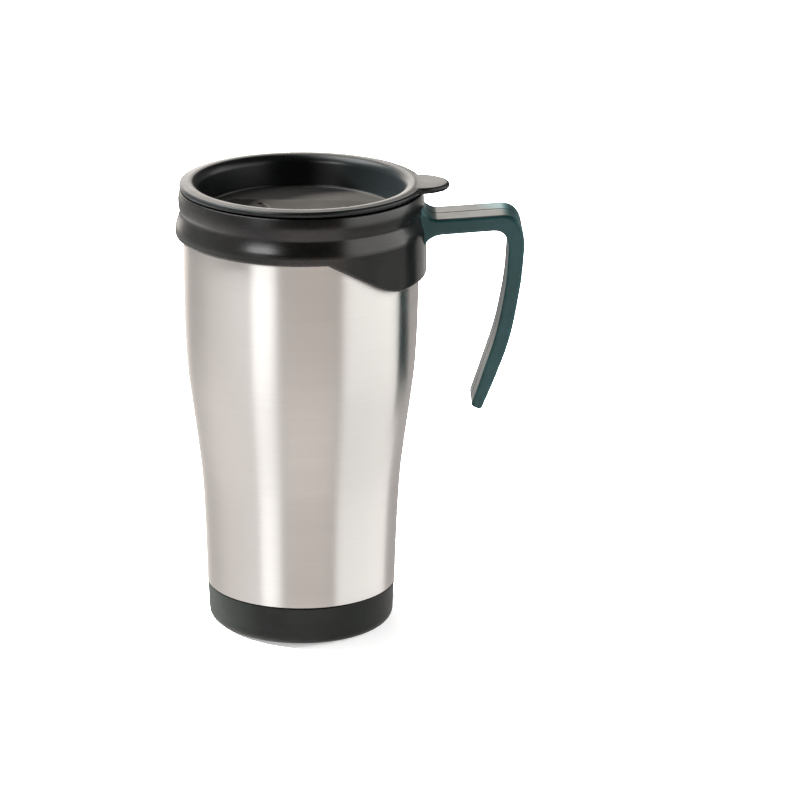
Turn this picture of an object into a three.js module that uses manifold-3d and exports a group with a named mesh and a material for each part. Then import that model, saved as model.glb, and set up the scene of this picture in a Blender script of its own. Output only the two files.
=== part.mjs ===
// Insulated travel mug with a brushed steel sleeve, a plastic collar with an open-ended handle,
// and a press-in lid with a sliding drink closure.
// Millimetres, +Z up. The origin is the centre of the underside. The handle and the lid's thumb
// tab point to +X, and the drink opening is at -X.
import * as THREE from 'three';
import { mergeVertices } from 'three/addons/utils/BufferGeometryUtils.js';
import Module from 'manifold-3d';

const wasm = await Module();
wasm.setup();

// ---- driving dimensions ----

const GAP = 0.3; // clearance between pieces that touch or slide
const SEGMENTS = 48; // sides of a round piece
const COLLAR_SEGMENTS = 72;
const MERGE_TOLERANCE = 1e-4;

const PAD_RADIUS = 26;
const PAD_THICKNESS = 1.5;

const CAP_FOOT_RADIUS = 30.5;
const CAP_FOOT_Z = 0.3;
const CAP_FOOT_ROUND = { width: 3.7, height: 4.2 };
const CAP_RIM_RADIUS = 34.7;
const CAP_TOP_Z = 15;
const CAP_FLOOR = { low: PAD_THICKNESS + GAP, high: 4.2 };
const SPIGOT = { outer: 33.4, inner: 31.4, top: 22 };
const BASE_SEAL = { inner: 32.9, outer: 34, low: 18, high: 20 };

const STEEL = 0.6; // sheet thickness of the outer shell
const SHELL_FOOT_Z = CAP_TOP_Z + GAP;
const SHELL_TOP_Z = 159;
const SHELL_RADIUS = 42.8; // under the collar
const SHELL_SIDE = [[34.8, SHELL_FOOT_Z], [35.6, 40], [37, 61.5], [39.95, 84], [42.05, 103], [42.75, 124]];

const LINER = 1.3; // wall of the inner cup
const MOUTH_RADIUS = 39.8;
const LINER_FLANGE = { outer: 42.5, low: SHELL_TOP_Z + GAP, high: 160.9 };
const LINER_SIDE = [[28.2, 11.5], [29.4, 20], [31.9, 47], [36.4, 86], [38.6, 125], [MOUTH_RADIUS, 150]];
const LINER_FLOOR = { radius: 25, high: 8.5 };
const LINER_SEAL = { inner: 40.8, outer: 42.4, low: LINER_FLANGE.high + GAP, high: 162 };

const COLLAR_BORE = SHELL_RADIUS + GAP;
const COLLAR_TOP_Z = 164.6;
const COLLAR_FOOT_Z = 147.5;
const COLLAR_LIP = { inner: 41, low: LINER_SEAL.high + GAP };
// outer side of the collar: an upright band, a valley and a rounded bead
const COLLAR_SIDE = [
  [43.7, COLLAR_TOP_Z], [44.25, 164.2], [44.6, 161], [44.5, 158.5], [44.2, 156.5],
  [44.7, 154.2], [45.5, 151.8], [45.7, 150], [45.4, 148.4], [44.4, COLLAR_FOOT_Z],
];
const TONGUE = { depth: 14, start: 78, flat: 35, bend: 0.6, top: 149 }; // start and flat in degrees
const LUG = { tip: 49.6, halfWidth: 3, low: 150.8, high: 154.2 };

const HANDLE_HALF_WIDTH = 10;
const ARM = { root: 49.2, rootTop: 155.3, tip: 72.5, tipTop: 157, thickness: 6 };
const ROOT = { x: 44.4, top: 160, tipZ: 144.5 };
const GRIP_OUTER = [[80.8, 144.5], [79.6, 131], [76.1, 111.5], [70.9, 96], [65.8, 83.3]];
const GRIP_INNER = [[62, 84.7], [66.1, 97.3], [70.9, 113], [74, 130], [75, 143.5]];

const LID_SEAT_Z = COLLAR_TOP_Z + GAP;
const LID_TOP_Z = 167.4;
const LID_RADIUS = 44.2;
const WELL = { rim: 38.2, floorRadius: 34.8, floorZ: 155.5 };
const LID_FLOOR = 1.8;
const PLUG = { outer: 38.8, seat: 37.6, seatLow: 156.4, seatHigh: 160.9, ridge: 38.6 };
const GASKET_OUTER = MOUTH_RADIUS - GAP;
const TAB = { centre: 43, length: 10.7, halfWidth: 10.5, low: 165, high: 167.1 };
const DRINK_SLOT = { inner: 27.4, outer: 33, halfAngle: 17 };

const TRAVEL = 6; // of the slider, towards -X
const SLIDER = { low: WELL.floorZ + GAP, thickness: 1.6, headX: 17.5, headRadius: 10, endHalfWidth: 11.75 };
const SLIDER_END_RADIUS = 34; // concentric with the lid once the slider is shut
const VENT_RADIUS = 1.35;
const SCOOP = { x: -13.2, halfWidth: 6.5, length: 3, depth: 0.9 };
const ARROW = { x: -19, size: 4.3, height: 0.3 };
const STEM = { low: -4, high: 8, halfWidth: 3, barb: 0.8, barbHeight: 0.6 };
const KEEPER = { low: -10, high: 14, halfWidth: 7, thickness: 1.5 };
const SEAL_PAD = { radius: 33.3, innerX: -18, halfWidth: 9.9, thickness: 0.6 };

const FINISHES = {
  steel: { color: 0xc9c5c0, roughness: 0.3, metalness: 1 },
  collar: { color: 0x24272a, roughness: 0.38, metalness: 0 },
  handle: { color: 0x2b3a3d, roughness: 0.45, metalness: 0 },
  base: { color: 0x20282a, roughness: 0.5, metalness: 0 },
  liner: { color: 0x1d1f21, roughness: 0.45, metalness: 0 },
  silicone: { color: 0x9a9c98, roughness: 0.6, metalness: 0 },
  rubber: { color: 0x141516, roughness: 0.85, metalness: 0 },
};

// ---- helpers ----

// drops a geometry's normals, merges its shared points and leaves out empty triangles
function closedMesh(geometry) {
  const bare = geometry.clone();
  bare.deleteAttribute('normal');
  bare.deleteAttribute('uv');
  const merged = mergeVertices(bare, MERGE_TOLERANCE);
  const corners = Array.from(merged.index.array);
  const kept = [];
  for (let i = 0; i < corners.length; i += 3) {
    const [a, b, c] = corners.slice(i, i + 3);
    if (a !== b && b !== c && c !== a) {
      kept.push(a, b, c);
    }
  }
  merged.setIndex(kept);
  return merged;
}

function solid(geometry) {
  const mesh = closedMesh(geometry);
  return new wasm.Manifold(new wasm.Mesh({
    numProp: 3,
    vertProperties: new Float32Array(mesh.attributes.position.array),
    triVerts: new Uint32Array(mesh.index.array),
  }));
}

function geometryOf(body) {
  const mesh = body.getMesh();
  const geometry = new THREE.BufferGeometry();
  geometry.setAttribute('position', new THREE.BufferAttribute(mesh.vertProperties, 3));
  geometry.setIndex(new THREE.BufferAttribute(mesh.triVerts, 1));
  geometry.computeVertexNormals();
  return geometry;
}

// turns a closed outline of [radius, z] points about the Z axis
function turned(outline, segments = SEGMENTS) {
  const points = outline.map(([radius, z]) => new THREE.Vector2(radius, z));
  if (THREE.ShapeUtils.isClockWise(points)) {
    points.reverse();
  }
  if (points[0].x > 0 || points[points.length - 1].x > 0) {
    points.push(points[0].clone());
  }
  const geometry = new THREE.LatheGeometry(points, segments);
  geometry.rotateX(Math.PI / 2);
  return geometry;
}

// extrudes an outline drawn in the XY plane from one height to another
function plate(shape, low, high, curveSegments = 8) {
  const geometry = new THREE.ExtrudeGeometry(shape, {
    depth: high - low,
    bevelEnabled: false,
    curveSegments,
  });
  geometry.translate(0, 0, low);
  return geometry;
}

function box(xLow, xHigh, halfWidth, low, high) {
  const geometry = new THREE.BoxGeometry(xHigh - xLow, 2 * halfWidth, high - low);
  geometry.translate((xLow + xHigh) / 2, 0, (low + high) / 2);
  return geometry;
}

// samples a smooth curve through [radius, z] points
function smooth(points, divisions) {
  const curve = new THREE.SplineCurve(points.map(([x, y]) => new THREE.Vector2(x, y)));
  return curve.getPoints(divisions).map((point) => [point.x, point.y]);
}

function shifted(points, amount) {
  return points.map(([radius, z]) => [radius + amount, z]);
}

const group = new THREE.Group();

function addPiece(name, geometry, finish) {
  const mesh = new THREE.Mesh(geometry, new THREE.MeshStandardMaterial(finish));
  mesh.name = name;
  group.add(mesh);
}

// ---- base ----

function makePad() {
  const chamfer = 0.4;
  return turned([
    [0, 0], [PAD_RADIUS - chamfer, 0], [PAD_RADIUS, chamfer],
    [PAD_RADIUS, PAD_THICKNESS], [0, PAD_THICKNESS],
  ]);
}

// the quarter-round between the cap's foot and its side
function footRound(steps = 4) {
  const points = [];
  for (let i = 0; i <= steps; i += 1) {
    const angle = (i / steps) * (Math.PI / 2);
    const radius = CAP_FOOT_RADIUS + CAP_FOOT_ROUND.width * Math.sin(angle);
    const z = CAP_FOOT_Z + CAP_FOOT_ROUND.height * (1 - Math.cos(angle));
    points.push([radius, z]);
  }
  return points;
}

function makeBaseCap() {
  const pocket = PAD_RADIUS + GAP;
  const grooveRadius = BASE_SEAL.inner - GAP;
  const cove = 1.6;
  return turned([
    [0, CAP_FLOOR.low], [pocket, CAP_FLOOR.low], [pocket, CAP_FOOT_Z],
    ...footRound(),
    [CAP_RIM_RADIUS, CAP_TOP_Z], [SPIGOT.outer, CAP_TOP_Z],
    [SPIGOT.outer, BASE_SEAL.low - GAP], [grooveRadius, BASE_SEAL.low - GAP],
    [grooveRadius, BASE_SEAL.high + GAP], [SPIGOT.outer, BASE_SEAL.high + GAP],
    [SPIGOT.outer, SPIGOT.top], [SPIGOT.inner, SPIGOT.top],
    [SPIGOT.inner, CAP_FLOOR.high + cove], [SPIGOT.inner - cove, CAP_FLOOR.high],
    [0, CAP_FLOOR.high],
  ]);
}

function makeBaseSeal() {
  const shoulder = BASE_SEAL.outer - 0.4;
  const middle = (BASE_SEAL.low + BASE_SEAL.high) / 2;
  return turned([
    [BASE_SEAL.inner, BASE_SEAL.low], [shoulder, BASE_SEAL.low], [BASE_SEAL.outer, middle],
    [shoulder, BASE_SEAL.high], [BASE_SEAL.inner, BASE_SEAL.high],
  ]);
}

// ---- steel shell and inner cup ----

function makeShell() {
  const side = [...smooth(SHELL_SIDE, 8), [SHELL_RADIUS, 132], [SHELL_RADIUS, SHELL_TOP_Z]];
  return turned([...side, ...shifted(side, -STEEL).reverse()]);
}

function makeLiner() {
  const side = smooth(LINER_SIDE, 6);
  const outer = shifted(side, LINER);
  const floorLow = LINER_FLOOR.high - LINER;
  return turned([
    [0, floorLow], [LINER_FLOOR.radius + 0.8, floorLow],
    ...outer,
    [MOUTH_RADIUS + LINER, LINER_FLANGE.low], [LINER_FLANGE.outer, LINER_FLANGE.low],
    [LINER_FLANGE.outer, LINER_FLANGE.high], [MOUTH_RADIUS, LINER_FLANGE.high],
    ...side.reverse(),
    [LINER_FLOOR.radius, LINER_FLOOR.high], [0, LINER_FLOOR.high],
  ]);
}

function makeLinerSeal() {
  const { inner, outer, low, high } = LINER_SEAL;
  return turned([[inner, low], [outer, low], [outer, high], [inner, high]]);
}

// ---- collar ----

// how far the collar's lower edge hangs down under the handle, at an angle from +X in degrees
function tongueDrop(angle) {
  const share = (TONGUE.start - Math.abs(angle)) / (TONGUE.start - TONGUE.flat);
  const t = THREE.MathUtils.clamp(share, 0, 1);
  if (t < TONGUE.bend) {
    return TONGUE.depth * (2 * t) / (1 + TONGUE.bend);
  }
  return TONGUE.depth * (1 - (1 - t) ** 2 / (1 - TONGUE.bend ** 2));
}

// moves the lower edge of the turned ring down to the tongue's outline
function hangTongue(geometry) {
  const position = geometry.attributes.position;
  for (let i = 0; i < position.count; i += 1) {
    const angle = THREE.MathUtils.radToDeg(Math.atan2(position.getY(i), position.getX(i)));
    if (position.getZ(i) < TONGUE.top) {
      position.setZ(i, position.getZ(i) - tongueDrop(angle));
    }
  }
}

function makeCollar() {
  const ring = turned([
    [COLLAR_LIP.inner, COLLAR_LIP.low], [COLLAR_LIP.inner, COLLAR_TOP_Z],
    ...COLLAR_SIDE,
    [COLLAR_BORE, COLLAR_FOOT_Z], [COLLAR_BORE, COLLAR_LIP.low],
  ], COLLAR_SEGMENTS);
  hangTongue(ring);
  const wallMiddle = (COLLAR_BORE + COLLAR_SIDE[7][0]) / 2;
  const lug = box(wallMiddle, LUG.tip, LUG.halfWidth, LUG.low, LUG.high);
  return geometryOf(solid(ring).add(solid(lug)));
}

// ---- handle ----

// side view of the handle, with X across and Z up
function handleOutline() {
  const shape = new THREE.Shape();
  const inside = 40;
  const corner = [80.9, 157.3];
  const innerCorner = [75, 151.2];
  shape.moveTo(inside, ROOT.top);
  shape.lineTo(ROOT.x, ROOT.top);
  shape.quadraticCurveTo(ROOT.x + 0.8, ARM.rootTop + 0.3, ARM.root, ARM.rootTop);
  shape.lineTo(ARM.tip, ARM.tipTop);
  shape.quadraticCurveTo(...corner, ...GRIP_OUTER[0]);
  shape.splineThru(GRIP_OUTER.slice(1).map((point) => new THREE.Vector2(...point)));
  shape.lineTo(...GRIP_INNER[0]);
  shape.splineThru(GRIP_INNER.slice(1).map((point) => new THREE.Vector2(...point)));
  shape.quadraticCurveTo(...innerCorner, ARM.tip - 3, ARM.tipTop - ARM.thickness);
  shape.lineTo(ARM.root + 2.8, ARM.rootTop - ARM.thickness + 0.3);
  shape.quadraticCurveTo(ROOT.x + 1.2, ARM.rootTop - ARM.thickness, ROOT.x - 0.5, ROOT.tipZ);
  shape.lineTo(inside, ROOT.tipZ);
  return shape;
}

// the space that the collar and its lug take, with the clearance round them
function collarSpace() {
  const side = shifted(COLLAR_SIDE, GAP);
  const [bead] = side[7];
  const core = turned([
    [0, ROOT.tipZ - 5], [bead, ROOT.tipZ - 5], [bead, side[7][1]],
    ...side.slice(0, 7).reverse(),
    [0, COLLAR_TOP_Z],
  ], COLLAR_SEGMENTS);
  const lug = box(COLLAR_BORE, LUG.tip + GAP, LUG.halfWidth + GAP, LUG.low - GAP, LUG.high + GAP);
  return solid(core).add(solid(lug));
}

// one half of the handle: side is -1 for the front half and 1 for the back half
function makeHandleHalf(side) {
  const seam = GAP / 2;
  const geometry = new THREE.ExtrudeGeometry(handleOutline(), {
    depth: HANDLE_HALF_WIDTH - seam,
    bevelEnabled: false,
    curveSegments: 5,
  });
  geometry.rotateX(Math.PI / 2);
  geometry.translate(0, side < 0 ? -seam : HANDLE_HALF_WIDTH, 0);
  return geometryOf(solid(geometry).subtract(collarSpace()));
}

// ---- lid ----

// section of the lid: floor and well wall, rounded rim, and the plug with its gasket seat
function lidOutline() {
  const underside = WELL.floorZ - LID_FLOOR;
  return [
    [0, WELL.floorZ], [WELL.floorRadius - 0.6, WELL.floorZ], [WELL.floorRadius, WELL.floorZ + 0.5],
    [WELL.rim, 166.4], [WELL.rim + 0.8, 167.1], [WELL.rim + 2.2, LID_TOP_Z],
    [LID_RADIUS - 1.6, 167.3], [LID_RADIUS - 0.3, 166.7], [LID_RADIUS, 165.8],
    [LID_RADIUS - 0.3, 165.1], [LID_RADIUS - 0.9, LID_SEAT_Z], [PLUG.outer, LID_SEAT_Z],
    [PLUG.outer, PLUG.seatHigh], [PLUG.seat, PLUG.seatHigh], [PLUG.seat, PLUG.seatLow],
    [PLUG.ridge, PLUG.seatLow], [PLUG.ridge, PLUG.seatLow - 1.2], [PLUG.ridge - 1.4, underside],
    [0, underside],
  ];
}

function tabShape() {
  const shape = new THREE.Shape();
  const root = TAB.centre - 2;
  shape.moveTo(root, -TAB.halfWidth);
  shape.lineTo(TAB.centre, -TAB.halfWidth);
  shape.absellipse(TAB.centre, 0, TAB.length, TAB.halfWidth, -Math.PI / 2, Math.PI / 2);
  shape.lineTo(root, TAB.halfWidth);
  return shape;
}

// the arc-shaped hole to drink from
function drinkSlotShape() {
  const spread = THREE.MathUtils.degToRad(DRINK_SLOT.halfAngle);
  const shape = new THREE.Shape();
  shape.absarc(0, 0, DRINK_SLOT.outer, Math.PI - spread, Math.PI + spread, false);
  shape.absarc(0, 0, DRINK_SLOT.inner, Math.PI + spread, Math.PI - spread, true);
  return shape;
}

function discShape(x, radius) {
  const shape = new THREE.Shape();
  shape.absarc(x, 0, radius, 0, 2 * Math.PI);
  return shape;
}

function makeLid() {
  const low = WELL.floorZ - LID_FLOOR - 1;
  const high = WELL.floorZ + 1;
  const stemSlot = box(STEM.low - TRAVEL - GAP, STEM.high + GAP, STEM.halfWidth + GAP, low, high);
  return geometryOf(
    solid(turned(lidOutline()))
      .add(solid(plate(tabShape(), TAB.low, TAB.high)))
      .subtract(solid(plate(drinkSlotShape(), low, high)))
      .subtract(solid(plate(discShape(SLIDER.headX, VENT_RADIUS), low, high)))
      .subtract(solid(stemSlot)),
  );
}

// a silicone ring with two fins that press on the inner cup's mouth
function makeGasket() {
  const inner = PLUG.seat + GAP;
  const low = PLUG.seatLow + GAP;
  const high = PLUG.seatHigh - GAP;
  const body = GASKET_OUTER - 0.6;
  return turned([
    [inner, low], [body, low], [GASKET_OUTER, low + 0.7], [body, low + 1.4],
    [body, high - 1.4], [GASKET_OUTER, high - 0.7], [body, high], [inner, high],
  ]);
}

// ---- slider ----

function sliderShape() {
  const shape = new THREE.Shape();
  const endAngle = Math.asin(SLIDER.endHalfWidth / SLIDER_END_RADIUS);
  shape.absarc(SLIDER.headX, 0, SLIDER.headRadius, -Math.PI / 2, Math.PI / 2, false);
  shape.absarc(TRAVEL, 0, SLIDER_END_RADIUS, Math.PI - endAngle, Math.PI + endAngle, false);
  return shape;
}

// the crescent that a fingertip pushes on
function scoopShape() {
  const { x, halfWidth, length } = SCOOP;
  const shape = new THREE.Shape();
  shape.moveTo(x - length, -halfWidth);
  shape.quadraticCurveTo(x + length, 0, x - length, halfWidth);
  shape.quadraticCurveTo(x - length / 2, 0, x - length, -halfWidth);
  return shape;
}

function arrowShape() {
  const shape = new THREE.Shape();
  const reach = ARROW.size / 2;
  shape.moveTo(ARROW.x + reach, 0);
  shape.lineTo(ARROW.x - reach, reach);
  shape.lineTo(ARROW.x - reach, -reach);
  return shape;
}

function sealPadShape(margin) {
  const radius = SEAL_PAD.radius + margin;
  const halfWidth = SEAL_PAD.halfWidth + margin;
  const endAngle = Math.asin(halfWidth / radius);
  const innerX = SEAL_PAD.innerX + margin;
  const shape = new THREE.Shape();
  shape.moveTo(innerX, -halfWidth);
  shape.lineTo(innerX, halfWidth);
  shape.absarc(TRAVEL, 0, radius, Math.PI - endAngle, Math.PI + endAngle, false);
  return shape;
}

function makeSlider() {
  const top = SLIDER.low + SLIDER.thickness;
  const keeperLow = WELL.floorZ - LID_FLOOR - GAP - KEEPER.thickness;
  const stemLow = keeperLow - GAP - STEM.barbHeight;
  const sealSpace = SLIDER.low + SEAL_PAD.thickness + GAP;
  const barb = STEM.halfWidth + STEM.barb;
  return geometryOf(
    solid(plate(sliderShape(), SLIDER.low, top))
      .add(solid(plate(arrowShape(), top - 0.2, top + ARROW.height)))
      .add(solid(box(STEM.low, STEM.high, STEM.halfWidth, stemLow, top - 0.5)))
      .add(solid(box(STEM.low, STEM.high, barb, stemLow, stemLow + STEM.barbHeight)))
      .subtract(solid(plate(scoopShape(), top - SCOOP.depth, top + 1)))
      .subtract(solid(plate(discShape(SLIDER.headX, VENT_RADIUS), SLIDER.low - 1, top + 1)))
      .subtract(solid(plate(sealPadShape(GAP), SLIDER.low - 1, sealSpace))),
  );
}

function makeSliderSeal() {
  return plate(sealPadShape(0), SLIDER.low, SLIDER.low + SEAL_PAD.thickness);
}

// the plate that snaps on to the stem under the lid's floor
function makeKeeper() {
  const high = WELL.floorZ - LID_FLOOR - GAP;
  const low = high - KEEPER.thickness;
  const opening = box(STEM.low - GAP, STEM.high + GAP, STEM.halfWidth + GAP, low - 1, high + 1);
  const body = box(KEEPER.low, KEEPER.high, KEEPER.halfWidth, low, high);
  return geometryOf(solid(body).subtract(solid(opening)));
}

// ---- the assembly ----

addPiece('non_slip_pad', makePad(), FINISHES.rubber);
addPiece('base_cap', makeBaseCap(), FINISHES.base);
addPiece('base_seal_ring', makeBaseSeal(), FINISHES.silicone);
addPiece('outer_shell', makeShell(), FINISHES.steel);
addPiece('inner_liner', makeLiner(), FINISHES.liner);
addPiece('liner_seal_ring', makeLinerSeal(), FINISHES.silicone);
addPiece('collar', makeCollar(), FINISHES.collar);
addPiece('handle_front_half', makeHandleHalf(-1), FINISHES.handle);
addPiece('handle_back_half', makeHandleHalf(1), FINISHES.handle);
addPiece('lid', makeLid(), FINISHES.collar);
addPiece('lid_gasket', makeGasket(), FINISHES.silicone);
addPiece('slider', makeSlider(), FINISHES.collar);
addPiece('slider_seal', makeSliderSeal(), FINISHES.silicone);
addPiece('slider_keeper', makeKeeper(), FINISHES.collar);

export default group;
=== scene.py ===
# Looks of the insulated travel mug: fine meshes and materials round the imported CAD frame.
# Lengths below are in millimetres and are turned into metres when a mesh is made.
import math

import bmesh
import bpy
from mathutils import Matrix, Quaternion, Vector, geometry


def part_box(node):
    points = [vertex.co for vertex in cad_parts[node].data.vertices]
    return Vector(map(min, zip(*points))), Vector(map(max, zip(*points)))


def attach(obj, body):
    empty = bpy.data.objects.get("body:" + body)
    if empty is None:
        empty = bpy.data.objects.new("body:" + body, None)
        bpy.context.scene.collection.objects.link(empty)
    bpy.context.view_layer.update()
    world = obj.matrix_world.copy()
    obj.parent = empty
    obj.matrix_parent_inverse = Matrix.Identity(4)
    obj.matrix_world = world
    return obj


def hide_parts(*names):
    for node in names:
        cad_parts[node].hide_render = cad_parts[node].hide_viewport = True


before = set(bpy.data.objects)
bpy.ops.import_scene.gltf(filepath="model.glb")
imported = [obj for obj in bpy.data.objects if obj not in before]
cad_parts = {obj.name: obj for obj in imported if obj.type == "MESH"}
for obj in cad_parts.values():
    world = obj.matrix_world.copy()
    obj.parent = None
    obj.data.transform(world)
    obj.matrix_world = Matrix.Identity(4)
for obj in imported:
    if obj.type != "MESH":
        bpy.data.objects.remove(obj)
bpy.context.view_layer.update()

MM = 0.001
GAP = 0.3  # clearance between pieces that touch or slide


# ---- reading the frame ----

def span(node):
    """Lowest and highest corner of a CAD node, in mm."""
    low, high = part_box(node)
    return low / MM, high / MM


def side_line(node):
    """Outer side of a turned CAD node, bottom up, as (radius, z) read from its vertices at -X."""
    widest = {}
    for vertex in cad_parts[node].data.vertices:
        x, y, z = vertex.co / MM
        if x < 0 and abs(y) < 0.02:
            level = round(z, 2)
            widest[level] = max(widest.get(level, 0.0), -x)
    return [(radius, level) for level, radius in sorted(widest.items())]


# ---- outlines ----

def arc_between(centre, start, end, steps):
    """Points on the arc from start to end about centre, the short way round."""
    first = start - centre
    last = end - centre
    turn = math.atan2(first.x * last.y - first.y * last.x, first.dot(last))
    points = []
    for step in range(steps + 1):
        angle = turn * step / steps
        cos, sin = math.cos(angle), math.sin(angle)
        points.append(centre + Vector((first.x * cos - first.y * sin, first.x * sin + first.y * cos)))
    return points


def rounded(corners, steps=5):
    """A closed outline from (a, b, radius) corners, with each corner turned into an arc."""
    points = []
    for i, (a, b, radius) in enumerate(corners):
        here = Vector((a, b))
        if radius == 0:
            points.append(here)
            continue
        before = (Vector(corners[i - 1][:2]) - here).normalized()
        after = (Vector(corners[(i + 1) % len(corners)][:2]) - here).normalized()
        half = before.angle(after) / 2
        reach = radius / math.tan(half)
        centre = here + (before + after).normalized() * (radius / math.sin(half))
        points += arc_between(centre, here + before * reach, here + after * reach, steps)
    return points


def spline(points, per_span=6):
    """A smooth Catmull-Rom line through the points, with its end points kept."""
    line = [Vector(p) for p in points]
    line = [2 * line[0] - line[1], *line, 2 * line[-1] - line[-2]]
    smooth = []
    for p0, p1, p2, p3 in zip(line, line[1:], line[2:], line[3:]):
        for step in range(per_span):
            t = step / per_span
            smooth.append(0.5 * (2 * p1 + (p2 - p0) * t + (2 * p0 - 5 * p1 + 4 * p2 - p3) * t ** 2
                                 + (3 * p1 - p0 - 3 * p2 + p3) * t ** 3))
    smooth.append(line[-2])
    return smooth


def curve_to(start, control, end, steps):
    """A quadratic curve without its start point."""
    start, control, end = Vector(start), Vector(control), Vector(end)
    points = []
    for step in range(1, steps + 1):
        t = step / steps
        points.append(start * (1 - t) ** 2 + control * 2 * t * (1 - t) + end * t ** 2)
    return points


def ring_arc(radius, low, high, steps, x=0.0):
    """Points on a circle about (x, 0) from one angle to another, in degrees."""
    points = []
    for step in range(steps + 1):
        angle = math.radians(low + (high - low) * step / steps)
        points.append(Vector((x + radius * math.cos(angle), radius * math.sin(angle))))
    return points


# ---- meshes ----

def make_object(name, points, faces, body, replaced, material):
    """Makes a closed, smooth-shaded mesh from points in mm and sets what it rides on and stands for."""
    shape = bmesh.new()
    verts = [shape.verts.new(Vector(p) * MM) for p in points]
    for face in faces:
        shape.faces.new([verts[i] for i in face])
    bmesh.ops.remove_doubles(shape, verts=shape.verts, dist=1e-3 * MM)
    bmesh.ops.dissolve_degenerate(shape, edges=shape.edges, dist=1e-4 * MM)
    bmesh.ops.recalc_face_normals(shape, faces=shape.faces)
    mesh = bpy.data.meshes.new(name)
    shape.to_mesh(mesh)
    shape.free()
    mesh.shade_smooth()
    piece = bpy.data.objects.new(name, mesh)
    bpy.context.scene.collection.objects.link(piece)
    even = piece.modifiers.new("even_normals", "WEIGHTED_NORMAL")
    even.weight = 60
    mesh.materials.append(material)
    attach(piece, body)
    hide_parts(replaced)
    return piece


def even_angles(count):
    return [2 * math.pi * step / count for step in range(count)]


def turn_profile(profile, angles, bend=None, closed=True):
    """Points and faces of a profile of (radius, z) turned about Z. bend(angle, radius, z) moves a point."""
    points, faces = [], []
    rows = len(profile)
    for angle in angles:
        for radius, z in profile:
            if bend:
                radius, z = bend(angle, radius, z)
            points.append((radius * math.cos(angle), radius * math.sin(angle), z))
    for side in range(len(angles)):
        other = (side + 1) % len(angles)
        for row in range(rows if closed else rows - 1):
            after = (row + 1) % rows
            faces.append((side * rows + row, other * rows + row, other * rows + after, side * rows + after))
    return points, faces


def outward(contour):
    """Unit vectors that point to the right of the way round a closed contour."""
    normals = []
    for i, here in enumerate(contour):
        along = (contour[(i + 1) % len(contour)] - here).normalized() + (here - contour[i - 1]).normalized()
        along.normalize()
        normals.append(Vector((along.y, -along.x)))
    return normals


def add_wall(points, faces, contour, levels):
    """Stacks loops of a contour at (offset, z) levels, joins them, and returns each loop's indices."""
    normals = outward(contour)
    starts = []
    for offset, z in levels:
        starts.append(len(points))
        for here, normal in zip(contour, normals):
            height = z(here) if callable(z) else z
            points.append((here.x + normal.x * offset, here.y + normal.y * offset, height))
    count = len(contour)
    for low, high in zip(starts, starts[1:]):
        for i in range(count):
            after = (i + 1) % count
            faces.append((low + i, low + after, high + after, high + i))
    return [list(range(start, start + count)) for start in starts]


def fill_loops(points, faces, loops):
    """Fills the flat area inside the first loop and outside the others; a loop is a list of indices."""
    index = [i for loop in loops for i in loop]
    contours = [[Vector((points[i][0], points[i][1], 0.0)) for i in loop] for loop in loops]
    for triangle in geometry.tessellate_polygon(contours):
        faces.append(tuple(index[i] for i in triangle))


def round_levels(low, high, edge, steps=4):
    """(offset, z) levels of a plate's side from its lower face to its upper one, with round edges."""
    levels = []
    for step in range(steps + 1):
        angle = math.pi / 2 * step / steps
        levels.append((edge * (math.sin(angle) - 1), low + edge * (1 - math.cos(angle))))
    for step in range(steps + 1):
        angle = math.pi / 2 * step / steps
        levels.append((edge * (math.cos(angle) - 1), high - edge * (1 - math.sin(angle))))
    return levels


def plate(outline, low, high, edge, holes=(), dents=()):
    """Points and faces of a flat plate. outline runs counter-clockwise, and holes and dents clockwise.
    A dent is (contour, levels): loops from the upper face to its floor, which is filled."""
    points, faces = [], []
    lower, upper = [], []
    for contour in [outline, *holes]:
        loops = add_wall(points, faces, contour, round_levels(low, high, edge))
        lower.append(loops[0])
        upper.append(loops[-1])
    for contour, levels in dents:
        loops = add_wall(points, faces, contour, levels)
        upper.append(loops[0])
        fill_loops(points, faces, [loops[-1]])
    fill_loops(points, faces, lower)
    fill_loops(points, faces, upper)
    return points, faces


def flipped(contour):
    return list(reversed(contour))


# ---- materials ----

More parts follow.
